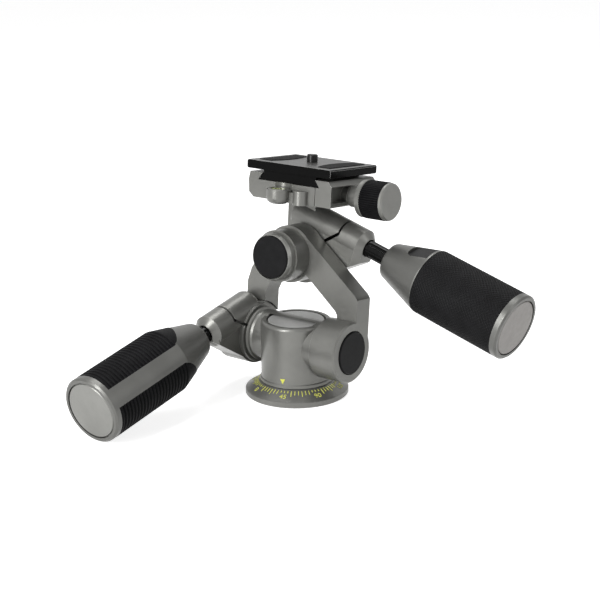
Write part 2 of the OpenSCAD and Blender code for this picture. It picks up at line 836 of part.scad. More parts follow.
// Two rubber panels lie in the tilt grip, with a smooth grey strip between them on two sides.
// Their tongues reach over the cone.
module panel_space(nose) {
    pocket = nose + cone_len - tongue_len;
    for (s = [0, 180]) rotate([s + strip_turn, 0, 0])
    intersection() {
        translate([0, 0, -reach]) linear_extrude(2 * reach) {
            translate([pocket + tongue_r, -reach])
                square([grip_len - cone_len - end_ring_len + tongue_len - tongue_r, 2 * reach]);
            translate([pocket + tongue_r, 0]) circle(r = tongue_r);
        }
        rotate([90, 0, 90]) translate([0, 0, nose]) linear_extrude(grip_len)
            polygon([
                [0, 0], [reach * cos(strip_half), reach * sin(strip_half)], [reach, reach], [-reach, reach],
                [-reach * cos(strip_half), reach * sin(strip_half)]
            ]);
    }
}

module tilt_grip_core() {
    color(grey)
    at_tilt_rod()
    difference() {
        turned_x(core_profile(tilt_nose, grip_r - 0.1));
        core_cuts(tilt_nose);
        intersection() {
            panel_space(tilt_nose);
            difference() {
                bar_x(tilt_nose, tilt_nose + grip_len, reach);
                panel_bed(tilt_nose);
            }
        }
    }
}

// The floor of the pockets for the rubber panels
module panel_bed(nose) {
    turned_x([
        [nose - 1, 0], [nose - 1, nose_r - rubber_t - 0.4], [nose + cone_start, nose_r - rubber_t],
        [nose + cone_len, grip_r - rubber_t - 0.3], [nose + grip_len, grip_r - rubber_t - 0.3],
        [nose + grip_len, 0]
    ]);
}

module tilt_grip_rubber() {
    pitch = (grip_len - cone_len - end_ring_len) / grip_ribs;
    x0 = tilt_nose + cone_len;
    color(rubber)
    at_tilt_rod()
    intersection() {
        difference() {
            turned_x(concat(
                [[tilt_nose, 0], [tilt_nose, nose_r], [x0, grip_r - 0.2]],
                [for (i = [0:grip_ribs - 1]) each [
                    [x0 + (i + 0.3) * pitch, grip_r], [x0 + (i + 0.62) * pitch, grip_r],
                    [x0 + (i + 0.8) * pitch, grip_r - 0.7], [x0 + (i + 0.97) * pitch, grip_r - 0.7]
                ]],
                [[tilt_nose + grip_len, grip_r - 0.7], [tilt_nose + grip_len, 0]]
            ));
            panel_bed(tilt_nose);
        }
        panel_space(tilt_nose);
    }
}

module tilt_rod() { at_tilt_rod() rod(tilt_nose); }

module tilt_end_disc() { at_tilt_rod() end_disc(tilt_nose); }

module tilt_thrust_washer() { at_tilt_rod() thrust_washer(); }

module roll_rod() { at_roll_rod() rod(roll_nose); }

module roll_end_disc() { at_roll_rod() end_disc(roll_nose); }

module roll_thrust_washer() { at_roll_rod() thrust_washer(); }

// The roll grip has one full rubber sleeve, and a sunk window in the upper side of its cone
module at_window() {
    at_roll_rod() rotate([window_turn, 0, 0]) translate([roll_nose + cone_start, 0, nose_r])
        rotate([0, -atan((grip_r - 0.3 - nose_r) / (cone_len - cone_start)), 0])
        translate([0, 0, -window_depth]) children();
}

module window_shape(grow) {
    w = inlay_w / 2 + grow;
    r = window_corner + grow;
    x0 = window_start - grow;
    x1 = cone_len - 1.2 + grow;
    translate([x0 + r, -w]) square([x1 - x0 - r, 2 * w]);
    translate([x0, r - w]) square([r + 1, 2 * (w - r)]);
    for (s = [-1, 1]) translate([x0 + r, s * (w - r)]) circle(r = r);
}

module roll_grip_core() {
    color(grey)
    difference() {
        at_roll_rod() difference() {
            turned_x(core_profile(roll_nose, grip_r - rubber_t));
            core_cuts(roll_nose);
        }
        at_window() linear_extrude(10) window_shape(0);
    }
}

module roll_grip_inlay() {
    color(black) at_window() linear_extrude(inlay_t) window_shape(-0.1);
}

module roll_grip_rubber() {
    x0 = roll_nose + cone_len + 0.6;
    x1 = roll_nose + grip_len - end_ring_len;
    color(rubber)
    at_roll_rod() difference() {
        turned_x([
            [x0, 0], [x0, grip_r - 0.5], [x0 + 0.5, grip_r], [x1 - 0.5, grip_r], [x1, grip_r - 0.5], [x1, 0]
        ]);
        bar_x(x0 - 1, x1 + 1, grip_r - rubber_t);
    }
}

// ---- platform ----

module roll_clamp() {
    y0 = roll_clamp_y - clamp_t / 2;
    color(grey)
    at_platform()
    difference() {
        union() {
            translate([0, roll_clamp_y, 0]) clamp_frame(roll_droop)
                clamp_blank(roll_rod_v, roll_rear_u, roll_ear_low, 0);
            // neck up to the quick release
            translate([neck_x0, roll_clamp_y - neck_t / 2, 8]) cube([neck_x1 - neck_x0, neck_t, body_z - 8]);
            // low hub towards the yoke
            bar_y(y0 + run_c, y0 + 1, clamp_seat_r);
        }
        translate([0, roll_clamp_y, 0]) clamp_frame(roll_droop) clamp_cuts(roll_rod_v, roll_shaft_r);
        // seat of the rear disc, bolt of the quick release
        bar_y(y0 + clamp_t - disc_t, y0 + clamp_t + 1, disc_r + disc_gap);
        translate([bolt_x, roll_clamp_y, body_z - 7]) cylinder(h = 10, r = bolt_r);
    }
}

module roll_clamp_disc() {
    y1 = roll_clamp_y + clamp_t / 2;
    color(black)
    at_platform() rotate([-90, 0, 0]) rotate_extrude() polygon([
        [0, y1 - disc_t], [disc_r, y1 - disc_t], [disc_r, y1 + disc_proud - 0.5],
        [disc_r - 0.5, y1 + disc_proud], [0, y1 + disc_proud]
    ]);
}

module roll_retainer() {
    color(steel)
    at_platform() {
        bar_y(roll_shaft_y1 - 11, roll_shaft_y1, end_screw_r - seat_c);
        bar_y(roll_shaft_y1, roll_shaft_y1 + 1, end_screw_head_r);
    }
}

module body_profile() {
    polygon([
        [body_x0 + 4, body_z], [body_x0 + 0.6, body_z + 2.8], [body_x0, body_z + body_h - 4.5],
        [body_x0 + 1, body_top], [-dove_neck / 2 - dove_c, body_top],
        [-dove_w / 2 - dove_c, floor_z - floor_c], [body_x1, floor_z - floor_c], [body_x1, body_z]
    ]);
}

module release_body() {
    color(grey)
    at_platform()
    difference() {
        union() {
            translate([0, front_y + body_d, 0]) rotate([90, 0, 0]) linear_extrude(body_d) body_profile();
            // housing of the bubble level and the boss beside it
            translate([vial_x, front_y + vial_y, 0]) rotate_extrude() polygon([
                [0, body_z - 0.6], [level_r - 2.6, body_z - 0.6], [level_r - 0.9, body_z + 0.5],
                [level_r, body_z + 2.6], [level_r, level_top], [0, level_top]
            ]);
            translate([boss_x, front_y - 0.4, body_z - 0.4]) cylinder(h = 8, r = boss_r);
            translate([vial_x, front_y - 3.2, body_z + 0.2]) cube([boss_x - vial_x, 6, 6]);
        }
        // seat of the vial, and the scallop above it
        translate([vial_x, front_y + vial_y, vial_z0]) cylinder(h = 6, r = vial_r + 0.6);
        translate([vial_x, front_y + vial_y, level_top]) cylinder(h = 12, r = level_r + 0.4);
        // channels that the stops of the plate run in
        for (s = [-1, 1]) translate([s * stop_x, platform_y, floor_z - 1.4]) linear_extrude(4)
            square([2 * stop_r + 0.8, 2 * (plate_travel + stop_r) + 0.6], center = true);
        // bolt from below the floor, with its head countersunk
        translate([bolt_x, roll_clamp_y, body_z - 1]) cylinder(h = 20, r = bolt_r);
        translate([bolt_x, roll_clamp_y, floor_z - bolt_head_t]) cylinder(h = 10, r = bolt_head_r);
        // screw of the knob, guide pins of the jaw
        translate([0, platform_y, knob_z]) bar_x(body_x1 - 26, body_x1 + 1, screw_r + run_c);
        for (s = [-1, 1]) translate([0, platform_y + s * pin_dx, knob_z])
            bar_x(body_x1 - 14, body_x1 + 1, pin_r + run_c);
    }
}

module release_bolt() {
    color(steel)
    at_platform() translate([bolt_x, roll_clamp_y, 0])
    difference() {
        union() {
            translate([0, 0, body_z - 6.6])
                cylinder(h = floor_z - bolt_head_t - body_z + 6.6, r = bolt_r - seat_c);
            translate([0, 0, floor_z - bolt_head_t]) cylinder(h = 2.6, r = bolt_head_r - 0.2);
        }
        translate([0, 0, floor_z - 2.4]) cylinder(h = 4, r = 1.7, $fn = 6);
    }
}

module at_vial() { at_platform() translate([vial_x, front_y + vial_y, vial_z0]) children(); }

module vial_glass() {
    color(mark)
    at_vial() rotate_extrude() polygon([
        [0, 0], [vial_r, 0], [vial_r, vial_h], [vial_r - 1.2, vial_h + 0.7], [0, vial_h + 0.7]
    ]);
}

module vial_bezel() {
    seat_z = level_top - vial_z0;
    color(light_grey)
    at_vial() rotate_extrude() polygon([
        [vial_r + seat_c, 0], [vial_r + 0.6 - seat_c, 0], [vial_r + 0.6 - seat_c, seat_z],
        [vial_r + 1.5, seat_z], [vial_r + 1.1, seat_z + 0.5], [vial_r + seat_c, seat_z + 0.5]
    ]);
}

module release_jaw() {
    color(grey)
    at_platform()
    difference() {
        translate([0, front_y + body_d, 0]) rotate([90, 0, 0]) linear_extrude(body_d)
        polygon([
            [jaw_x0, body_z], [jaw_x1 - 0.8, body_z], [jaw_x1, body_z + 0.8], [jaw_x1, body_top - 2.6],
            [jaw_x1 - 2.2, body_top], [dove_neck / 2 + dove_c, body_top],
            [dove_w / 2 + dove_c, floor_z - floor_c], [jaw_x0, floor_z - floor_c]
        ]);
        // a pocket in the outer face, round the boss of the screw
        difference() {
            translate([jaw_x1 - pocket_depth, front_y + pocket_wall, pocket_z0])
                cube([pocket_depth + 1, body_d - 2 * pocket_wall, pocket_h]);
            translate([0, platform_y, knob_z]) bar_x(jaw_x0, jaw_x1 + 2, screw_boss_r);
        }
        translate([0, platform_y, knob_z]) bar_x(jaw_x0 - 1, jaw_x1 + 1, screw_r + run_c);
        for (s = [-1, 1]) translate([0, platform_y + s * pin_dx, knob_z])
            bar_x(jaw_x0 - 1, jaw_x0 + 6, pin_r);
    }
}

module jaw_guide_pins() {
    color(steel)
    at_platform() for (s = [-1, 1]) translate([0, platform_y + s * pin_dx, knob_z])
        bar_x(jaw_x0 - 9, jaw_x0 + 5.9, pin_r - seat_c);
}

// ---- clamping knob, along X ----

module at_knob() { at_platform() translate([0, platform_y, knob_z]) children(); }

module knob_core() {
    color(grey)
    at_knob() difference() {
        union() {
            bar_x(jaw_x1, knob_x0, 6);
            turned_x([
                [knob_x0, 0], [knob_x0, knob_r - 1.4], [knob_x0 + 0.6, knob_r - 0.2],
                [knob_x0 + flange_len - 0.6, knob_r - 0.2], [knob_x0 + flange_len, knob_r - 0.6],
                [knob_x0 + flange_len, knob_r - knob_rubber_t],
                [knob_x1 - knob_cap_t, knob_r - knob_rubber_t], [knob_x1 - knob_cap_t, 0]
            ]);
        }
        bar_x(jaw_x1 - 1, knob_x1 - 5, screw_r + seat_c);
    }
}

module knob_rubber() {
    color(rubber)
    at_knob() difference() {
        turned_x([
            [knob_x0 + flange_len, 0], [knob_x0 + flange_len, knob_r - 0.3],
            [knob_x0 + flange_len + 0.4, knob_r], [knob_x1 - knob_cap_t - 0.4, knob_r],
            [knob_x1 - knob_cap_t, knob_r - 0.3], [knob_x1 - knob_cap_t, 0]
        ]);
        bar_x(knob_x0, knob_x1, knob_r - knob_rubber_t);
    }
}

module knob_cap() {
    color(light_grey)
    at_knob() turned_x([
        [knob_x1 - knob_cap_t, 0], [knob_x1 - knob_cap_t, knob_r - 0.3], [knob_x1 - 0.8, knob_r - 0.3],
        [knob_x1, knob_r - 1.1], [knob_x1, 0]
    ]);
}

module knob_screw() {
    color(steel) at_knob() bar_x(body_x1 - 18, knob_x1 - 5, screw_r);
}

// ---- camera plate ----

module plate_profile() {
    polygon([
        [-dove_w / 2, floor_z], [dove_w / 2, floor_z], [dove_neck / 2, body_top],
        [dove_neck / 2, slab_z0], [plate_len / 2 - 0.8, slab_z0], [plate_len / 2, slab_z0 + 0.6],
        [plate_len / 2, plate_top - 0.7], [plate_len / 2 - 0.7, plate_top],
        [-plate_len / 2 + 0.7, plate_top], [-plate_len / 2, plate_top - 0.7],
        [-plate_len / 2, slab_z0 + 0.6], [-plate_len / 2 + 0.8, slab_z0], [-dove_neck / 2, slab_z0],
        [-dove_neck / 2, body_top]
    ]);
}

module at_camera_screw() { at_platform() translate([0, platform_y, 0]) children(); }

module camera_plate() {
    y0 = platform_y - plate_w / 2;
    color(black)
    at_platform()
    difference() {
        translate([0, y0 + plate_w, 0]) rotate([90, 0, 0]) linear_extrude(plate_w) plate_profile();
        // the dovetail ends short of the slab at front and back
        for (y = [y0 - 1, y0 + plate_w - 1.6]) translate([-dove_w / 2 - 2, y, floor_z - 1])
            cube([dove_w + 4, 2.6, slab_z0 - floor_z + 1]);
        // beds of the pads
        for (s = [-1, 1]) translate([s * pad_x, platform_y, plate_top - pad_bed]) pad_shape(s, run_c, 2);
        // camera screw: hole, and the pocket of its head below
        translate([0, platform_y, floor_z - 1]) cylinder(h = 30, r = camera_r + 0.08);
        translate([0, platform_y, floor_z - 1])
            cylinder(h = 2 + camera_head_t + clip_t + 0.1, r = camera_head_r + face_c);
        for (s = [-1, 1]) translate([s * stop_x, platform_y, floor_z - 1]) cylinder(h = 5, r = stop_r);
    }
}

// A pad is a segment with a straight outer side and a bowed inner one
module pad_shape(side, grow, h) {
    linear_extrude(h)
    intersection() {
        square([pad_w + 2 * grow, pad_len + 2 * grow], center = true);
        translate([side * (pad_bow - pad_w / 2), 0]) circle(r = pad_bow + grow);
    }
}

module plate_pads() {
    color(rubber)
    at_platform() for (s = [-1, 1]) translate([s * pad_x, platform_y, plate_top - pad_bed])
        pad_shape(s, 0, pad_bed + pad_proud);
}

module plate_stops() {
    color(steel)
    at_platform() for (s = [-1, 1]) translate([s * stop_x, platform_y, floor_z - 0.9])
        cylinder(h = 4.9, r = stop_r - seat_c);
}

module camera_screw() {
    head_z = floor_z + 1;
    tip_z = plate_top + camera_h;
    color(steel)
    at_camera_screw() difference() {
        rotate_extrude() polygon([
            [0, head_z], [camera_head_r, head_z], [camera_head_r, head_z + camera_head_t],
            [shank_r, head_z + camera_head_t], [shank_r, plate_top + thread_gap],
            [camera_r, plate_top + thread_gap], [camera_r, tip_z - thread_lead],
            [camera_r - thread_lead, tip_z], [0, tip_z]
        ]);
        translate([-1, -camera_head_r, floor_z]) cube([2, 2 * camera_head_r, 2.2]);
    }
}

module screw_clip() {
    color(steel)
    at_camera_screw() translate([0, 0, floor_z + 1 + camera_head_t]) difference() {
        cylinder(h = clip_t, r = camera_head_r - 1);
        translate([0, 0, -1]) cylinder(h = 3, r = shank_r + seat_c);
    }
}

base_flange();
pan_scale();
tripod_bush();
base_pad();
pan_spindle();
spindle_screws();
column_housing();
column_cap();
index_pointer();
pan_washer();
pan_retaining_screws();
pan_brake_shoe();
tilt_shaft();
tilt_shaft_pin();
pan_knob();
pan_knob_screw();
yoke_frame();
tilt_clamp();
tilt_washers();
tilt_thrust_collar();
hub_bush();
tilt_hub_disc();
tilt_clamp_disc();
tilt_shaft_screws();
roll_shaft();
roll_collar();
roll_disc();
roll_washer();
tilt_rod();
tilt_grip_core();
tilt_grip_rubber();
tilt_end_disc();
tilt_thrust_washer();
roll_clamp();
roll_clamp_disc();
roll_retainer();
release_body();
release_bolt();
vial_glass();
vial_bezel();
jaw_guide_pins();
release_jaw();
knob_core();
knob_rubber();
knob_cap();
knob_screw();
camera_plate();
plate_pads();
plate_stops();
camera_screw();
screw_clip();
roll_rod();
roll_grip_core();
roll_grip_rubber();
roll_grip_inlay();
roll_end_disc();
roll_thrust_washer();
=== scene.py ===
"""Looks of a three way pan tilt head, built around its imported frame."""

import json
import logging
import math
from dataclasses import dataclass, field
from enum import Enum
from typing import Callable, Iterable, Sequence

import bmesh
import bpy
from mathutils import Matrix, Vector

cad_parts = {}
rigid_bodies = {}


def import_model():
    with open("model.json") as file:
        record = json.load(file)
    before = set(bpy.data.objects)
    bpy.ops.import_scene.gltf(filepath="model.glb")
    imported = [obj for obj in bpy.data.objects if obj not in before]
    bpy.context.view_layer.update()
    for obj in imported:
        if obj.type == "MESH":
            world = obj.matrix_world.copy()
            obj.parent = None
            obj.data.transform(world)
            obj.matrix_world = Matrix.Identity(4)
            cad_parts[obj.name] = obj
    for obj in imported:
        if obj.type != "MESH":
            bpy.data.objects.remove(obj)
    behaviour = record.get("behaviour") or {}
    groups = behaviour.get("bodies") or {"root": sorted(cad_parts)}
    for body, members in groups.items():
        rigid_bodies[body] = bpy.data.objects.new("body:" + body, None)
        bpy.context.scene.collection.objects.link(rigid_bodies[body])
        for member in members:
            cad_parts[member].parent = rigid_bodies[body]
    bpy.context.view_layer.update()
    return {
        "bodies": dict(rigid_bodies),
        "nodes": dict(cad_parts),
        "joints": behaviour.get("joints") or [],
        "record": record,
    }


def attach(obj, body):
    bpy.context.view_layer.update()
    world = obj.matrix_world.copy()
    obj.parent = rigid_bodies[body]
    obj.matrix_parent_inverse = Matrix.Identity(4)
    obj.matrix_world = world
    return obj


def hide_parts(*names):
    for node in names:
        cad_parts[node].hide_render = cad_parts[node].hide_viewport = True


LOG = logging.getLogger("pan_tilt_head")
MM = 0.001
NOISE_SPAN = (0.3, 0.7)
BORE_GAP = 0.02

Colour = tuple[float, float, float]
Relief = Callable[[float, float, float], float]


class Body(str, Enum):
    """The bodies of the head that take new pieces."""

    BASE = "base"
    YOKE = "yoke"
    PLATFORM = "platform"
    ROLL_HANDLE = "roll_handle"
    JAW = "jaw"
    KNOB = "clamp_knob"
    PLATE = "plate"


class Slot(str, Enum):
    """The record's finishes that new pieces stand for."""

    GREY = "grey_coat"
    PLATE = "black_plate"
    DISC = "black_disc"
    GRIP = "grip_rubber"
    PAD = "soft_rubber"
    MARK = "scale_paint"
    VIAL = "vial"


# ---- finishes ----


class Recipe:
    """A material being put together from shader nodes."""

    def __init__(self, name: str) -> None:
        """Starts an empty material.

        Args:
            name: the material's name.
        """
        self.material = bpy.data.materials.new(name)
        self.material.use_nodes = True
        self.tree = self.material.node_tree
        self.tree.nodes.clear()
        self.output = self.tree.nodes.new("ShaderNodeOutputMaterial")
        self.shader = self.tree.nodes.new("ShaderNodeBsdfPrincipled")
        self.join(self.shader, "BSDF", self.output, "Surface")
        self.where = self.tree.nodes.new("ShaderNodeTexCoord")

    def join(self, a: bpy.types.Node, out: str, b: bpy.types.Node, into: str | int) -> None:
        """Links output out of node a to input into of node b."""
        self.tree.links.new(a.outputs[out], b.inputs[into])

    def put(self, **values: float | tuple) -> None:
        """Sets sockets of the main shader by their names, with _ for a space."""
        for key, value in values.items():
            self.shader.inputs[key.replace("_", " ")].default_value = value

    def noise(self, scale: float, detail: float, stretch: Sequence[float] = (1, 1, 1)) -> bpy.types.Node:
        """Adds a noise that lies in the object's own space.

        Args:
            scale: waves a metre.
            detail: octaves of finer noise.
            stretch: how much the noise is packed along each axis.

        Returns:
            The noise node.
        """
        mapping = self.tree.nodes.new("ShaderNodeMapping")
        mapping.inputs["Scale"].default_value = tuple(stretch)
        node = self.tree.nodes.new("ShaderNodeTexNoise")
        node.inputs["Scale"].default_value = scale
        node.inputs["Detail"].default_value = detail
        self.join(self.where, "Object", mapping, "Vector")
        self.join(mapping, "Vector", node, "Vector")
        return node

    def spread(self, source: bpy.types.Node, low: float, high: float) -> bpy.types.Node:
        """Maps the middle of a noise to a range.

        Args:
            source: the noise node.
            low: the value at the noise's low end.
            high: the value at its high end.

        Returns:
            The map range node.
        """
        node = self.tree.nodes.new("ShaderNodeMapRange")
        for key, value in zip(("From Min", "From Max", "To Min", "To Max"), (*NOISE_SPAN, low, high)):
            node.inputs[key].default_value = value
        self.join(source, "Fac", node, "Value")
        return node

    def tint(self, source: bpy.types.Node, dark: Colour, light: Colour) -> bpy.types.Node:
        """Blends two colours by a noise.

        Args:
            source: the node that gives the share.
            dark: the colour at the noise's low end.
            light: the colour at its high end.

        Returns:
            The colour ramp node.
        """
        ramp = self.tree.nodes.new("ShaderNodeValToRGB")
        for stop, place, colour in zip(ramp.color_ramp.elements, NOISE_SPAN, (dark, light)):
            stop.position = place
            stop.color = (*colour, 1)
        self.join(source, "Fac", ramp, "Fac")
        return ramp

    def relief(self, source: bpy.types.Node, strength: float, depth: float) -> None:
        """Adds a bump to the shader, on top of any bump that it has.

        Args:
            source: the node whose output is the height.
            strength: the share of the bump that shows.
            depth: the height of the bump, in metres.
        """
        node = self.tree.nodes.new("ShaderNodeBump")
        node.inputs["Strength"].default_value = strength
        node.inputs["Distance"].default_value = depth
        self.join(source, "Fac", node, "Height")
        socket = self.shader.inputs["Normal"]
        if socket.is_linked:
            self.tree.links.new(socket.links[0].from_socket, node.inputs["Normal"])
        self.join(node, "Normal", self.shader, "Normal")

    def dye(self, source: bpy.types.Node, dark: Colour, light: Colour) -> None:
        """Tints the shader's base colour by a noise, from dark to light."""
        self.join(self.tint(source, dark, light), "Color", self.shader, "Base Color")

    def polish(self, source: bpy.types.Node, low: float, high: float) -> None:
        """Spreads the shader's roughness by a noise, from low to high."""
        self.join(self.spread(source, low, high), "Result", self.shader, "Roughness")


def shade(colour: Colour, factor: float) -> Colour:
    """Returns the colour made lighter or darker by a factor."""
    return tuple(min(1.0, c * factor) for c in colour)


@dataclass(frozen=True)
class PowderCoat:
    """Satin powder coat over cast metal, with a fine orange peel."""

    name: str
    colour: Colour
    metallic: float = 0.55
    roughness: float = 0.33
    cloud: float = 60.0
    wear: float = 420.0
    peel: float = 2600.0
    dimple: float = 380.0
    peel_depth: float = 0.00006

    def build(self) -> bpy.types.Material:
        """Returns the finished material."""
        r = Recipe(self.name)
        r.dye(r.noise(self.cloud, 3), shade(self.colour, 0.93), shade(self.colour, 1.07))
        r.put(Metallic=self.metallic, Specular_IOR_Level=0.3)
        r.polish(r.noise(self.wear, 3), self.roughness - 0.05, self.roughness + 0.07)
        r.relief(r.noise(self.peel, 2), 0.22, self.peel_depth)
        r.relief(r.noise(self.dimple, 2), 0.1, self.peel_depth * 2)
        return r.material


@dataclass(frozen=True)
class Anodised:
    """Dyed aluminium with fine brushing along one axis."""

    name: str
    colour: Colour
    roughness: float = 0.3
    gloss: float = 0.1
    grain: float = 5200.0
    brushing: tuple[float, float, float] = (1, 0.04, 1)

    def build(self) -> bpy.types.Material:
        """Returns the finished material."""
        r = Recipe(self.name)
        lines = r.noise(self.grain, 2, self.brushing)
        r.dye(lines, shade(self.colour, 0.85), shade(self.colour, 1.2))
        r.put(Specular_IOR_Level=self.gloss)
        r.polish(lines, self.roughness - 0.04, self.roughness + 0.08)
        r.relief(lines, 0.1, 0.00003)
        return r.material


@dataclass(frozen=True)
class Rubber:
    """Moulded rubber with a dull skin and dust in its grain."""

    name: str
    colour: Colour
    roughness: float = 0.55
    gloss: float = 0.05
    dust: float = 140.0
    grain: float = 1900.0

    def build(self) -> bpy.types.Material:
        """Returns the finished material."""
        r = Recipe(self.name)
        grain = r.noise(self.grain, 3)
        r.dye(r.noise(self.dust, 4), shade(self.colour, 0.8), shade(self.colour, 1.35))
        r.put(Specular_IOR_Level=self.gloss)
        r.polish(grain, self.roughness - 0.08, self.roughness + 0.1)
        r.relief(grain, 0.3, 0.00008)
        return r.material


@dataclass(frozen=True)
class Lacquer:
    """Glossy black lacquer over a drawn rod."""

    name: str
    colour: Colour
    roughness: float = 0.12
    gloss: float = 0.12
    flow: float = 300.0
    haze: float = 900.0
    ripple: float = 500.0

    def build(self) -> bpy.types.Material:
        """Returns the finished material."""
        r = Recipe(self.name)
        r.dye(r.noise(self.flow, 2), self.colour, shade(self.colour, 1.5))
        r.put(Specular_IOR_Level=self.gloss)
        r.polish(r.noise(self.haze, 3), self.roughness, self.roughness + 0.1)
        r.relief(r.noise(self.ripple, 2), 0.06, 0.00004)
        return r.material


@dataclass(frozen=True)
class Turned:
    """Bare metal with fine lathe marks."""

    name: str
    colour: Colour
    roughness: float = 0.26
    tarnish: float = 240.0
    marks: float = 2400.0
    lathe: tuple[float, float, float] = (1, 1, 6)

    def build(self) -> bpy.types.Material:
        """Returns the finished material."""
        r = Recipe(self.name)
        marks = r.noise(self.marks, 2, self.lathe)
        r.dye(r.noise(self.tarnish, 3), shade(self.colour, 0.82), shade(self.colour, 1.1))
        r.put(Metallic=1.0)
        r.polish(marks, self.roughness, self.roughness + 0.14)
        r.relief(marks, 0.12, 0.00002)
        return r.material


@dataclass(frozen=True)
class Moulding:
    """Matt moulded plastic with a fine spark texture."""

    name: str
    colour: Colour
    roughness: float = 0.5
    gloss: float = 0.06
    cloud: float = 200.0
    spark: float = 3200.0

    def build(self) -> bpy.types.Material:
        """Returns the finished material."""
        r = Recipe(self.name)
        spark = r.noise(self.spark, 2)
        r.dye(r.noise(self.cloud, 3), shade(self.colour, 0.85), shade(self.colour, 1.2))
        r.put(Specular_IOR_Level=self.gloss)
        r.polish(spark, self.roughness - 0.08, self.roughness + 0.08)
        r.relief(spark, 0.18, 0.00005)
        return r.material


@dataclass(frozen=True)
class Liquid:
    """The tinted liquid of a bubble level, behind clear acrylic."""

    name: str
    colour: Colour
    roughness: float = 0.08
    cloud: float = 260.0
    haze: float = 600.0
    ripple: float = 300.0

    def build(self) -> bpy.types.Material:
        """Returns the finished material."""
        r = Recipe(self.name)
        r.dye(r.noise(self.cloud, 2), shade(self.colour, 0.9), shade(self.colour, 1.12))
        r.put(Specular_IOR_Level=0.6, Coat_Weight=0.9, Coat_Roughness=0.03, Transmission_Weight=0.15)
        r.polish(r.noise(self.haze, 2), self.roughness, self.roughness * 2)
        r.relief(r.noise(self.ripple, 2), 0.03, 0.00003)
        return r.material


GREY_COAT = PowderCoat("coat_grey", (0.158, 0.158, 0.148))
LIGHT_COAT = PowderCoat("coat_light", (0.2, 0.2, 0.188), roughness=0.38)
# Lighter grey for the rounded edges of the castings: a painted highlight along every edge.
EDGE_HIGHLIGHT_COAT = PowderCoat("coat_edge_painted_highlight", (0.33, 0.33, 0.315), roughness=0.36)
GRIP_COAT = PowderCoat("coat_grip", (0.122, 0.122, 0.115), roughness=0.36)
WARM_COAT = PowderCoat("coat_warm_disc", (0.26, 0.248, 0.236), metallic=0.3, roughness=0.45)
PLATE_DYE = Anodised("plate_black", (0.004, 0.004, 0.004), roughness=0.24, gloss=0.04)
# Lighter grey for the top of the black camera plate: a painted reflection of the pale surroundings.
PLATE_TOP_REFLECTION = Anodised("plate_top_painted_reflection", (0.04, 0.04, 0.039), roughness=0.34, gloss=0.26)
# Light grey for the plate's rounded edges: a painted highlight along its top edges.
PLATE_EDGE_HIGHLIGHT = Anodised("plate_edge_painted_highlight", (0.2, 0.2, 0.195), roughness=0.3, gloss=0.4)
ROD_LACQUER = Lacquer("rod_black", (0.003, 0.003, 0.003))
DISC_PLASTIC = Moulding("disc_black", (0.009, 0.009, 0.0095), roughness=0.34)
GRIP_RUBBER = Rubber("rubber_grip", (0.0055, 0.0055, 0.006))
SLEEVE_RUBBER = Rubber("rubber_sleeve", (0.006, 0.006, 0.0064), roughness=0.48, gloss=0.07)
PAD_RUBBER = Rubber("rubber_pad", (0.008, 0.008, 0.008), roughness=0.66)
STEEL = Turned("steel_turned", (0.5, 0.5, 0.48))
# Satin coat for the column cap, lightened well past the column's grey: a painted reflection on the recessed
# cap.
CAP_SHEEN_COAT = PowderCoat("cap_satin_painted_reflection", (0.46, 0.46, 0.45), metallic=0.25, roughness=0.42)
DARK_STEEL = Turned("steel_black", (0.035, 0.035, 0.035), roughness=0.28)
BRASS = Turned("brass_turned", (0.6, 0.43, 0.16), roughness=0.3)
MARK_PAINT = Moulding("scale_paint", (0.64, 0.65, 0.13), roughness=0.6)
VIAL_LIQUID = Liquid("vial_liquid", (0.5, 0.62, 0.05))
VIAL_AIR = Liquid("vial_bubble", (0.78, 0.84, 0.4))
DARK_LINE = Moulding("line_black", (0.006, 0.006, 0.006), roughness=0.5)
SLIDE_RING = Moulding("ring_black", (0.01, 0.01, 0.01), roughness=0.38)

Finish = PowderCoat | Anodised | Rubber | Lacquer | Turned | Moulding | Liquid


class Palette:
    """Builds each finish once and hands it out."""

    def __init__(self) -> None:
        """Starts with nothing built."""
        self.built: dict[str, bpy.types.Material] = {}

    def get(self, finish: Finish) -> bpy.types.Material:
        """Returns the material of a finish, built on first use."""
        if finish.name not in self.built:
            self.built[finish.name] = finish.build()
        return self.built[finish.name]


# ---- meshes ----


def mesh_object(name: str, bm: bmesh.types.BMesh) -> bpy.types.Object:
    """Turns a bmesh into a linked object.

    Args:
        name: the object's name.
        bm: the mesh, which is freed.

    Returns:
        The new object.
    """
    mesh = bpy.data.meshes.new(name)
    bmesh.ops.recalc_face_normals(bm, faces=bm.faces)
    bm.to_mesh(mesh)
    bm.free()
    obj = bpy.data.objects.new(name, mesh)
    bpy.context.scene.collection.objects.link(obj)
    return obj


def smooth(obj: bpy.types.Object, angle: float) -> None:
    """Shades a mesh smooth, apart from edges sharper than an angle in degrees."""
    mesh = obj.data
    for face in mesh.polygons:
        face.use_smooth = True
    mesh.set_sharp_from_angle(angle=math.radians(angle))


def settle(obj: bpy.types.Object) -> None:
    """Applies the modifiers of an object to its mesh."""
    bpy.context.view_layer.update()
    graph = bpy.context.evaluated_depsgraph_get()
    mesh = bpy.data.meshes.new_from_object(obj.evaluated_get(graph))
    obj.modifiers.clear()
    obj.data = mesh


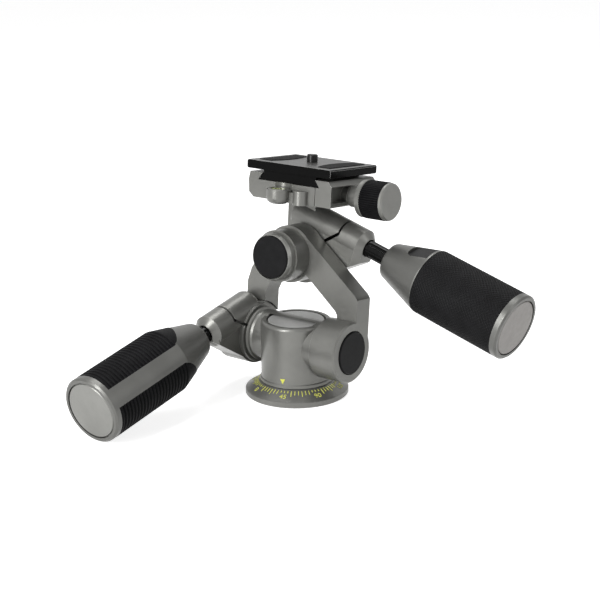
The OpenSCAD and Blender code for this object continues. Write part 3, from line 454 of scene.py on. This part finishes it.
def lathe(bm: bmesh.types.BMesh, profile: Sequence[tuple[float, float]], place: Matrix, steps: int,
          radius: Relief | None = None) -> None:
    """Adds a closed body of revolution round the X axis of a placement.

    Args:
        bm: the mesh that is added to.
        profile: points of distance and radius, in millimetres, from one pole to the other.
        place: the placement of the body.
        steps: points round the axis.
        radius: changes a radius by its distance, its own value and the angle.
    """
    rings: list[list[bmesh.types.BMVert]] = []
    for x, r in profile:
        if r == 0:
            rings.append([bm.verts.new(place @ Vector((x * MM, 0, 0)))])
            continue
        ring = []
        for i in range(steps):
            a = 2 * math.pi * i / steps
            out = radius(x, r, a) if radius else r
            spot = Vector((x * MM, out * math.cos(a) * MM, out * math.sin(a) * MM))
            ring.append(bm.verts.new(place @ spot))
        rings.append(ring)
    for a, b in zip(rings, rings[1:]):
        for i in range(steps):
            k = (i + 1) % steps
            if len(a) == 1 and len(b) > 1:
                bm.faces.new((a[0], b[i], b[k]))
            elif len(b) == 1 and len(a) > 1:
                bm.faces.new((a[i], b[0], a[k]))
            elif len(a) > 1:
                bm.faces.new((a[i], b[i], b[k], a[k]))


def sleeve(bm: bmesh.types.BMesh, profile: Sequence[tuple[float, float]], place: Matrix, steps: int,
           radius: Relief | None = None) -> None:
    """Adds a ring whose profile starts and ends on its bore.

    Args:
        bm: an empty mesh that is added to.
        profile: points of distance and radius, in millimetres, from the bore round to the bore.
        place: the placement of the ring.
        steps: points round the axis.
        radius: changes a radius by its distance, its own value and the angle.
    """
    lathe(bm, profile, place, steps, radius)
    bm.verts.ensure_lookup_table()
    last = (len(profile) - 1) * steps
    for i in range(steps):
        k = (i + 1) % steps
        bm.faces.new((bm.verts[i], bm.verts[k], bm.verts[last + k], bm.verts[last + i]))


@dataclass
class Workshop:
    """The frame, the palette and the rounding tools that every sub-assembly works with."""

    frame: dict
    palette: Palette = field(default_factory=Palette)
    weld: float = 0.002
    flat_angle: float = 0.5
    edge_angle: float = 28.0
    smooth_angle: float = 38.0
    edge_steps: int = 2

    def paint(self, finish: Finish, *nodes: str) -> None:
        """Gives CAD nodes a finish and logs them.

        Args:
            finish: the finish.
            nodes: names of CAD nodes.
        """
        material = self.palette.get(finish)
        for name in nodes:
            obj = self.frame["nodes"][name]
            if not obj.material_slots:
                obj.data.materials.append(material)
            for place in obj.material_slots:
                place.material = material
            LOG.info("node %s: %s", name, finish.name)

    def fit(self, obj: bpy.types.Object, body: Body, slot: Slot, finish: Finish | None = None,
            replaces: Iterable[str] = ()) -> bpy.types.Object:
        """Puts a new piece on its body.

        Args:
            obj: the piece.
            body: the body that it rides on.
            slot: the record's finish that it stands for; not used.
            finish: its own finish, if it has one only.
            replaces: the CAD nodes that it stands for.

        Returns:
            The piece.
        """
        if finish is not None:
            obj.data.materials.clear()
            obj.data.materials.append(self.palette.get(finish))
        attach(obj, body.value)
        if replaces:
            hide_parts(*replaces)
        LOG.info("piece %s: %d faces on %s", obj.name, len(obj.data.polygons), body.value)
        return obj

    def cast(self, node: str, name: str, body: Body, width: float) -> bpy.types.Object:
        """Dresses a coated casting: rounded edges, which get a lighter grey as a painted highlight.

        Args:
            node: the CAD node that it stands for.
            name: the name of the dressed piece.
            body: the body that it rides on.
            width: the width of the rounding, in millimetres.

        Returns:
            The dressed piece.
        """
        obj = self.soften(node, name, width, edge_slot=1)
        # The rounding takes the lighter grey, a painted highlight along the edges.
        for place, finish in enumerate((GREY_COAT, EDGE_HIGHLIGHT_COAT)):
            obj.data.materials[place] = self.palette.get(finish)
        return self.fit(obj, body, Slot.GREY, None, [node])

    def soften(self, node: str, name: str, width: float, edge_slot: int = -1) -> bpy.types.Object:
        """Makes a copy of a CAD node with rounded edges.

        Args:
            node: the CAD node.
            name: the name of the copy.
            width: the width of the rounding, in millimetres.
            edge_slot: the material slot of the rounding, or -1 for its neighbours'.

        Returns:
            The rounded copy.
        """
        bm = bmesh.new()
        bm.from_mesh(self.frame["nodes"][node].data)
        bmesh.ops.remove_doubles(bm, verts=bm.verts, dist=self.weld * MM)
        flat = math.radians(self.flat_angle)
        bmesh.ops.dissolve_limit(bm, angle_limit=flat, verts=bm.verts, edges=bm.edges, delimit=set())
        obj = mesh_object(name, bm)
        for _ in range(edge_slot + 1):
            obj.data.materials.append(None)
        normals = obj.data.attributes.get("custom_normal")
        if normals is not None:
            obj.data.attributes.remove(normals)
        bevel = obj.modifiers.new("round", "BEVEL")
        bevel.width = width * MM
        bevel.segments = self.edge_steps
        bevel.limit_method = "ANGLE"
        bevel.angle_limit = math.radians(self.edge_angle)
        bevel.use_clamp_overlap = True
        bevel.material = edge_slot
        bevel.miter_outer = "MITER_ARC"
        settle(obj)
        smooth(obj, self.smooth_angle)
        weight = obj.modifiers.new("even", "WEIGHTED_NORMAL")
        weight.keep_sharp = True
        settle(obj)
        return obj


# ---- frames of reference ----


@dataclass(frozen=True)
class Lie:
    """Where the head's moving frames lie at rest, in millimetres and degrees."""

    tilt_z: float = 31.0
    rest: float = -5.5
    roll_x: float = -10.5
    roll_h: float = 49.0
    platform_y: float = 20.5
    clamp_y: float = 25.5
    roll_droop: float = 16.4
    roll_rod_v: float = 17.6

    def yoke(self) -> Matrix:
        """Returns the frame of the yoke, on the tilt axis."""
        return Matrix.Translation((0, 0, self.tilt_z * MM)) @ Matrix.Rotation(math.radians(self.rest), 4, "X")

    def platform(self) -> Matrix:
        """Returns the frame of the platform, on the roll axis."""
        return self.yoke() @ Matrix.Translation((self.roll_x * MM, 0, self.roll_h * MM))

    def roll_rod(self) -> Matrix:
        """Returns the frame of the roll handle, along its X."""
        droop = Matrix.Rotation(math.radians(self.roll_droop), 4, "Y") @ Matrix.Rotation(math.pi / 2, 4, "X")
        turn = Matrix.Translation((0, self.clamp_y * MM, 0)) @ droop
        return self.platform() @ turn @ Matrix.Translation((0, self.roll_rod_v * MM, 0))


LIE = Lie()


# ---- sub-assemblies ----


@dataclass
class BaseUnit:
    """The round base with its degree scale, and what is screwed into it."""

    shop: Workshop
    rim_z: float = 3.6
    rim_r: float = 29.5
    top_z: float = 8.2
    foot_r: float = 21.3
    numeral_r: float = 26.2
    numeral_size: float = 4.3
    numeral_lift: float = 0.03
    numeral_t: float = 0.04
    first_numeral: float = -115.0
    numbers: tuple[str, ...] = ("0", "45", "90", "135", "180", "135", "90", "45")

    def build(self) -> None:
        """Builds and dresses the base."""
        shop = self.shop
        shop.paint(GREY_COAT, "base_flange")
        shop.paint(MARK_PAINT, "pan_scale")
        shop.paint(BRASS, "tripod_bush")
        shop.paint(PAD_RUBBER, "base_pad")
        shop.paint(STEEL, "pan_spindle", "spindle_screws")
        self.numerals()

    def numerals(self) -> None:
        """Prints the degrees round the bevel, one number each eighth of a turn."""
        bm = bmesh.new()
        slope = math.atan2(self.top_z - self.rim_z, self.rim_r - self.foot_r)
        z = self.rim_z + (self.rim_r - self.numeral_r) * math.tan(slope)
        for i, word in enumerate(self.numbers):
            a = math.radians(self.first_numeral + 360 / len(self.numbers) * i)
            out = Vector((math.cos(a), math.sin(a), 0))
            side = Vector((-math.sin(a), math.cos(a), 0))
            up = -out * math.cos(slope) + Vector((0, 0, math.sin(slope)))
            face = side.cross(up)
            centre = out * self.numeral_r * MM + Vector((0, 0, z * MM)) + face * self.numeral_lift * MM
            mesh = self.number(word)
            mesh.transform(Matrix.Translation(centre) @ Matrix((side, up, face)).transposed().to_4x4())
            bm.from_mesh(mesh)
            bpy.data.meshes.remove(mesh)
        self.shop.fit(mesh_object("scale_numerals", bm), Body.BASE, Slot.MARK, MARK_PAINT)

    def number(self, word: str) -> bpy.types.Mesh:
        """Cuts a number out of a thin sheet.

        Args:
            word: its digits.

        Returns:
            A mesh that lies flat, with its middle at the origin.
        """
        curve = bpy.data.curves.new("numeral", "FONT")
        curve.body = word
        curve.size = self.numeral_size * MM
        curve.extrude = self.numeral_t * MM
        curve.align_x = "CENTER"
        curve.align_y = "CENTER"
        sheet = bpy.data.objects.new("numeral", curve)
        bpy.context.scene.collection.objects.link(sheet)
        bpy.context.view_layer.update()
        mesh = bpy.data.meshes.new_from_object(sheet.evaluated_get(bpy.context.evaluated_depsgraph_get()))
        bpy.data.objects.remove(sheet)
        return mesh


@dataclass
class PanColumn:
    """The column that turns on the base, with its cap, its pointer and its lock."""

    shop: Workshop

    def build(self) -> None:
        """Builds and dresses the column."""
        shop = self.shop
        shop.paint(GREY_COAT, "column_housing")
        # The cap's lighter grey is a painted reflection.
        shop.paint(CAP_SHEEN_COAT, "column_cap")
        shop.paint(LIGHT_COAT, "tilt_thrust_collar", "tilt_washers")
        shop.paint(MARK_PAINT, "index_pointer")
        shop.paint(SLIDE_RING, "pan_washer")
        shop.paint(STEEL, "pan_retaining_screws", "pan_knob_screw")
        shop.paint(STEEL, "tilt_shaft", "tilt_shaft_pin", "tilt_shaft_screws")
        shop.paint(BRASS, "pan_brake_shoe")
        shop.paint(DISC_PLASTIC, "pan_knob")


@dataclass
class YokeUnit:
    """The yoke casting with its tilt clamp and its roll barrel."""

    shop: Workshop

    def build(self) -> None:
        """Builds and dresses the yoke."""
        shop = self.shop
        shop.cast("yoke_frame", "yoke_dressed", Body.YOKE, 0.7)
        shop.cast("tilt_clamp", "tilt_clamp_dressed", Body.YOKE, 0.45)
        shop.paint(LIGHT_COAT, "roll_collar")
        shop.paint(BRASS, "hub_bush", "tilt_thrust_washer")
        shop.paint(DISC_PLASTIC, "tilt_hub_disc", "tilt_clamp_disc", "roll_disc")
        shop.paint(STEEL, "roll_shaft", "roll_retainer")
        shop.paint(SLIDE_RING, "roll_washer")


@dataclass
class TiltHandle:
    """The left handle, with ribbed rubber panels."""

    shop: Workshop

    def build(self) -> None:
        """Builds and dresses the tilt handle."""
        shop = self.shop
        shop.paint(ROD_LACQUER, "tilt_rod")
        shop.paint(GRIP_COAT, "tilt_grip_core")
        shop.paint(GRIP_RUBBER, "tilt_grip_rubber")
        shop.paint(LIGHT_COAT, "tilt_end_disc")


@dataclass
class RollHandle:
    """The right handle, with one sleeve of textured rubber."""

    shop: Workshop
    nose: float = 52.5
    cone: float = 28.6
    length: float = 87.0
    end_ring: float = 4.0
    radius: float = 19.1
    wall: float = 2.0
    pitch: float = 2.1
    depth: float = 0.5
    lip: float = 0.5
    step: float = 0.35
    steps_round: int = 336

    def build(self) -> None:
        """Builds and dresses the roll handle."""
        shop = self.shop
        shop.paint(ROD_LACQUER, "roll_rod")
        shop.paint(GRIP_COAT, "roll_grip_core")
        shop.paint(DISC_PLASTIC, "roll_grip_inlay")
        shop.paint(WARM_COAT, "roll_end_disc")
        self.sleeve()

    def sleeve(self) -> None:
        """Builds the sleeve with its crossed grooves in the mesh."""
        x0, x1 = self.nose + self.cone, self.nose + self.length - self.end_ring
        inner = self.radius - self.wall + BORE_GAP
        start = [(x0, inner), (x0, self.radius - self.lip), (x0 + self.lip / 2, self.radius - 0.3 * self.lip)]
        long = x1 - x0 - 2 * self.lip
        count = int(long / self.step)
        middle = [(x0 + self.lip + long * i / count, self.radius) for i in range(count + 1)]
        rings = start + middle + [(x0 + x1 - x, r) for x, r in reversed(start)]
        turns = round(2 * math.pi * self.radius / self.pitch)

        def relief(x: float, r: float, a: float) -> float:
            """Returns the radius with two sets of slanting grooves cut in."""
            if r < self.radius - 0.01:
                return r
            along = 2 * math.pi * x / self.pitch
            left, right = (0.5 + 0.5 * math.sin(along + s * turns * a) for s in (-1, 1))
            return r - self.depth * (1 - min(left, right) ** 0.6)

        bm = bmesh.new()
        sleeve(bm, rings, LIE.roll_rod(), self.steps_round, relief)
        obj = mesh_object("roll_sleeve", bm)
        smooth(obj, 60)
        self.shop.fit(obj, Body.ROLL_HANDLE, Slot.GRIP, SLEEVE_RUBBER, ["roll_grip_rubber"])


@dataclass
class Platform:
    """The roll clamp and the fixed half of the quick release."""

    shop: Workshop
    vial_top: tuple[float, float, float] = (-3.4, -5.45, 38.3)
    bubble_r: float = 1.35
    bubble_h: float = 0.16
    circle_r: float = 1.75
    circle_w: float = 0.31
    circle_h: float = 0.1
    sunk: float = 0.05

    def build(self) -> None:
        """Builds and dresses the platform."""
        shop = self.shop
        shop.cast("roll_clamp", "roll_clamp_dressed", Body.PLATFORM, 0.45)
        shop.cast("release_body", "release_dressed", Body.PLATFORM, 0.4)
        shop.paint(DISC_PLASTIC, "roll_clamp_disc")
        shop.paint(STEEL, "release_bolt")
        shop.paint(BRASS, "roll_thrust_washer")
        shop.paint(VIAL_LIQUID, "vial_glass")
        shop.paint(LIGHT_COAT, "vial_bezel")
        self.bubble()

    def bubble(self) -> None:
        """Lays the air bubble and its black circle on the level's glass."""
        upright = Matrix.Rotation(-math.pi / 2, 4, "Y")
        place = LIE.platform() @ Matrix.Translation(Vector(self.vial_top) * MM) @ upright
        air = bmesh.new()
        arc = [math.radians(a) for a in range(0, 91, 15)]
        dome = [(self.bubble_h * math.cos(a), self.bubble_r * math.sin(a)) for a in arc]
        lathe(air, dome + [(-self.sunk, self.bubble_r), (-self.sunk, 0)], place, 32)
        obj = mesh_object("vial_bubble", air)
        smooth(obj, 60)
        self.shop.fit(obj, Body.PLATFORM, Slot.VIAL, VIAL_AIR)
        r, w, h = self.circle_r, self.circle_w, self.circle_h
        round_off = 0.07
        ring = bmesh.new()
        side = [(-self.sunk, r), (h - 0.03, r), (h, r + round_off)]
        sleeve(ring, side + [(x, 2 * r + w - y) for x, y in reversed(side)], place, 48)
        obj = mesh_object("vial_circle", ring)
        smooth(obj, 40)
        self.shop.fit(obj, Body.PLATFORM, Slot.DISC, DARK_LINE)


@dataclass
class Jaw:
    """The moving jaw and its clamping knob."""

    shop: Workshop
    knob_axis: tuple[float, float, float] = (0.0, 20.5, 35.8)
    ribs_x0: float = 41.5
    ribs_x1: float = 54.8
    knob_r: float = 11.0
    ring_wall: float = 1.6
    ribs: int = 54
    rib_depth: float = 0.5
    rib_steps: int = 8

    def build(self) -> None:
        """Builds and dresses the jaw and the knob."""
        shop = self.shop
        shop.cast("release_jaw", "jaw_dressed", Body.JAW, 0.5)
        shop.paint(STEEL, "jaw_guide_pins", "knob_screw")
        shop.paint(GREY_COAT, "knob_core")
        shop.paint(LIGHT_COAT, "knob_cap")
        self.knob_ring()

    def knob_ring(self) -> None:
        """Builds the knob's rubber ring with its ribs in the mesh."""
        x0, x1, r = self.ribs_x0, self.ribs_x1, self.knob_r
        bore = r - self.ring_wall + BORE_GAP
        rings = [(x0, bore), (x0, r - 0.3), (x0 + 0.4, r), (x1 - 0.4, r), (x1, r - 0.3), (x1, bore)]

        def rib(x: float, radius: float, a: float) -> float:
            """Returns the radius with the furrows between the ribs cut in."""
            furrow = max(0.0, math.sin(self.ribs * a)) ** 0.7
            return radius if radius < r - 0.5 else radius - self.rib_depth * furrow

        bm = bmesh.new()
        place = LIE.platform() @ Matrix.Translation(Vector(self.knob_axis) * MM)
        sleeve(bm, rings, place, self.ribs * self.rib_steps, rib)
        obj = mesh_object("knob_ribbed", bm)
        smooth(obj, 50)
        self.shop.fit(obj, Body.KNOB, Slot.GRIP, GRIP_RUBBER, ["knob_rubber"])


@dataclass
class CameraPlate:
    """The camera plate with its pads and its screw."""

    shop: Workshop
    slab: float = 4.0
    top_skin: float = 0.6
    upward: float = 0.97

    def build(self) -> None:
        """Builds and dresses the plate."""
        shop = self.shop
        plate = shop.soften("camera_plate", "plate_dressed", 0.35, edge_slot=2)
        for place, finish in enumerate((PLATE_DYE, PLATE_TOP_REFLECTION, PLATE_EDGE_HIGHLIGHT)):
            plate.data.materials[place] = shop.palette.get(finish)
        # Faces at the top that face upwards take the lighter grey, a painted reflection on the plate's top.
        top = LIE.platform().to_3x3() @ Vector((0, 0, 1))
        height = max(v.co.dot(top) for v in plate.data.vertices)
        for face in plate.data.polygons:
            level = height - face.center.dot(top)
            if face.normal.dot(top) > self.upward and level < self.top_skin * MM:
                face.material_index = 1
            # Rounded edges below the top slab go back to black, so the painted highlight stays on the top
            # edges.
            elif face.material_index == 2 and level > self.slab * MM:
                face.material_index = 0
        shop.fit(plate, Body.PLATE, Slot.PLATE, None, ["camera_plate"])
        pads = shop.soften("plate_pads", "pads_dressed", 0.3)
        shop.fit(pads, Body.PLATE, Slot.PAD, PAD_RUBBER, ["plate_pads"])
        shop.paint(STEEL, "plate_stops", "screw_clip")
        shop.paint(DARK_STEEL, "camera_screw")


# ---- studio ----


def seen_rays(tree: bpy.types.NodeTree) -> bpy.types.Node:
    """Adds a node that is 1 for what the camera, gloss and clear parts see.

    Args:
        tree: the node tree.

    Returns:
        The last node, read at its Value.
    """
    ray = tree.nodes.new("ShaderNodeLightPath")
    last, out = ray, "Is Camera Ray"
    for kind in ("Is Glossy Ray", "Is Transmission Ray"):
        either = tree.nodes.new("ShaderNodeMath")
        either.operation = "MAXIMUM"
        tree.links.new(last.outputs[out], either.inputs[0])
        tree.links.new(ray.outputs[kind], either.inputs[1])
        last, out = either, "Value"
    return last


@dataclass(frozen=True)
class Lamp:
    """A soft rectangular lamp that points at the head."""

    name: str
    at: tuple[float, float, float]
    size: tuple[float, float]
    watts: float
    aim: tuple[float, float, float] = (0.0, 0.0, 0.07)

    def hang(self) -> None:
        """Hangs the lamp."""
        data = bpy.data.lights.new(self.name, "AREA")
        data.shape = "RECTANGLE"
        data.size, data.size_y = self.size
        data.energy = self.watts
        lamp = bpy.data.objects.new(self.name, data)
        lamp.location = self.at
        lamp.rotation_euler = (Vector(self.aim) - Vector(self.at)).to_track_quat("-Z", "Y").to_euler()
        bpy.context.scene.collection.objects.link(lamp)


@dataclass
class Studio:
    """Floor, lamps, world and the camera at the photograph's angle."""

    azimuth: float = 38.0
    elevation: float = 16.5
    focal: float = 1500.0
    frame_px: float = 600.0
    scale_px: float = 1.71
    origin_px: tuple[float, float] = (296.1, 390.7)
    roll: float = -0.65
    soft_light: float = 0.18
    seen_white: float = 1.0
    floor_white: float = 0.8
    floor_half: float = 2.5
    floor_drop: float = 0.2
    lamps: tuple[Lamp, ...] = (
        Lamp("key", (-0.05, -0.95, 0.5), (0.24, 0.9), 13.0),
        Lamp("fill", (1.0, 0.15, 0.5), (0.5, 0.5), 1.6),
        Lamp("top", (-0.25, 0.35, 1.05), (0.5, 0.5), 5.0),
    )

    def build(self) -> None:
        """Sets up the studio."""
        self.floor()
        self.world()
        for lamp in self.lamps:
            lamp.hang()
        self.camera()
        bpy.context.scene.view_settings.view_transform = "Standard"

    def white(self, name: str, colour: float, seen: float) -> bpy.types.Material:
        """Makes a surface that keeps shadows but shows white.

        Args:
            name: the material's name.
            colour: its own brightness.
            seen: how much white the camera and reflections see.

        Returns:
            The material.
        """
        r = Recipe(name)
        r.dye(r.noise(8, 2), (colour,) * 3, (colour * 1.01,) * 3)
        r.put(Roughness=0.9, Specular_IOR_Level=0.1)
        glow = r.tree.nodes.new("ShaderNodeEmission")
        scale = r.tree.nodes.new("ShaderNodeMath")
        scale.operation = "MULTIPLY"
        scale.inputs[1].default_value = seen
        r.join(seen_rays(r.tree), "Value", scale, 0)
        r.join(scale, "Value", glow, "Strength")
        add = r.tree.nodes.new("ShaderNodeAddShader")
        r.tree.links.new(r.shader.outputs["BSDF"], add.inputs[0])
        r.tree.links.new(glow.outputs["Emission"], add.inputs[1])
        r.tree.links.new(add.outputs["Shader"], r.output.inputs["Surface"])
        return r.material

    def floor(self) -> None:
        """Lays a wide pale floor just under the base."""
        bm = bmesh.new()
        bmesh.ops.create_grid(bm, x_segments=8, y_segments=8, size=self.floor_half)
        obj = mesh_object("studio_floor", bm)
        obj.location.z = -self.floor_drop * MM
        obj.data.materials.append(self.white("floor_white", self.floor_white, self.floor_white))

    def world(self) -> None:
        """Makes the world a plain white that the camera and reflections see."""
        world = bpy.data.worlds.new("studio_world")
        bpy.context.scene.world = world
        world.use_nodes = True
        tree = world.node_tree
        tree.nodes.clear()
        out = tree.nodes.new("ShaderNodeOutputWorld")
        mix = tree.nodes.new("ShaderNodeMixShader")
        tree.links.new(seen_rays(tree).outputs["Value"], mix.inputs[0])
        for place, strength in ((1, self.soft_light), (2, self.seen_white)):
            white = tree.nodes.new("ShaderNodeBackground")
            white.inputs["Color"].default_value = (1, 1, 1, 1)
            white.inputs["Strength"].default_value = strength
            tree.links.new(white.outputs[0], mix.inputs[place])
        tree.links.new(mix.outputs[0], out.inputs["Surface"])

    def camera(self) -> None:
        """Places the camera where the photograph was taken from."""
        a, e = math.radians(self.azimuth), math.radians(self.elevation)
        back = Vector((math.sin(a) * math.cos(e), -math.cos(a) * math.cos(e), math.sin(e)))
        right = Vector((math.cos(a), math.sin(a), 0))
        up = back.cross(right)
        distance = self.focal / self.scale_px * MM
        half = self.frame_px / 2
        aside = (self.origin_px[0] - half) / self.focal * distance
        above = (half - self.origin_px[1]) / self.focal * distance
        data = bpy.data.cameras.new("photo_camera")
        data.sensor_width = 36.0
        data.lens = 36.0 * self.focal / self.frame_px
        data.clip_start = 0.01
        data.clip_end = 20.0
        cam = bpy.data.objects.new("photo_camera", data)
        upright = Matrix((right, up, back)).transposed().to_4x4()
        place = Matrix.Translation(back * distance - right * aside - up * above)
        cam.matrix_world = place @ upright @ Matrix.Rotation(math.radians(self.roll), 4, "Z")
        bpy.context.scene.collection.objects.link(cam)
        bpy.context.scene.camera = cam


def main() -> None:
    """Builds the head round its frame, then the studio."""
    logging.basicConfig(level=logging.INFO, format="%(name)s %(message)s")
    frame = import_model()
    shop = Workshop(frame)
    for unit in (BaseUnit, PanColumn, YokeUnit, TiltHandle, RollHandle, Platform, Jaw, CameraPlate):
        LOG.info("building %s", unit.__name__)
        unit(shop).build()
    Studio().build()


if __name__ == "__main__":
    main()
